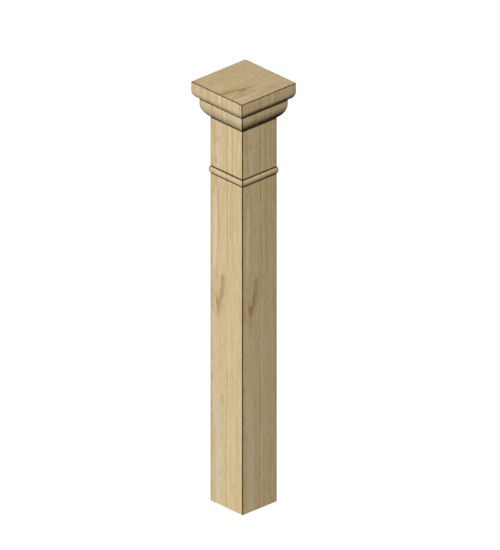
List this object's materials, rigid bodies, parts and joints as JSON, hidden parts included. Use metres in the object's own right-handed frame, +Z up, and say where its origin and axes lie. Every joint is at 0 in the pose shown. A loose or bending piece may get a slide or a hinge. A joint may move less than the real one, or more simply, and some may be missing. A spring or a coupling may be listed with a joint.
{
  "type": "square newel post",
  "caption": "Square wooden stair newel post: hollow mitred shaft, rounded neck bead, ovolo moulding under a thick flat cap board with a rounded lower edge.",
  "frame": {"origin": "middle of the square foot, on the floor", "axes": "+Z up along the shaft; -Y is out of the front face, +X out of the right face"},
  "size_m": [0.221, 0.221, 1.389],
  "materials": {
    "shaft_wood": "clear satin varnish on pale poplar",
    "moulding_wood": "clear satin varnish on pale poplar",
    "cap_wood": "clear satin varnish on pale poplar"
  },
  "bodies": {
    "root": {"shaft_board_front": "shaft_wood", "neck_bead_front": "moulding_wood", "cap_moulding_front": "moulding_wood", "shaft_board_right": "shaft_wood", "neck_bead_right": "moulding_wood", "cap_moulding_right": "moulding_wood", "shaft_board_back": "shaft_wood", "neck_bead_back": "moulding_wood", "cap_moulding_back": "moulding_wood", "shaft_board_left": "shaft_wood", "neck_bead_left": "moulding_wood", "cap_moulding_left": "moulding_wood", "cap_board": "cap_wood"}
  },
  "joints": []
}
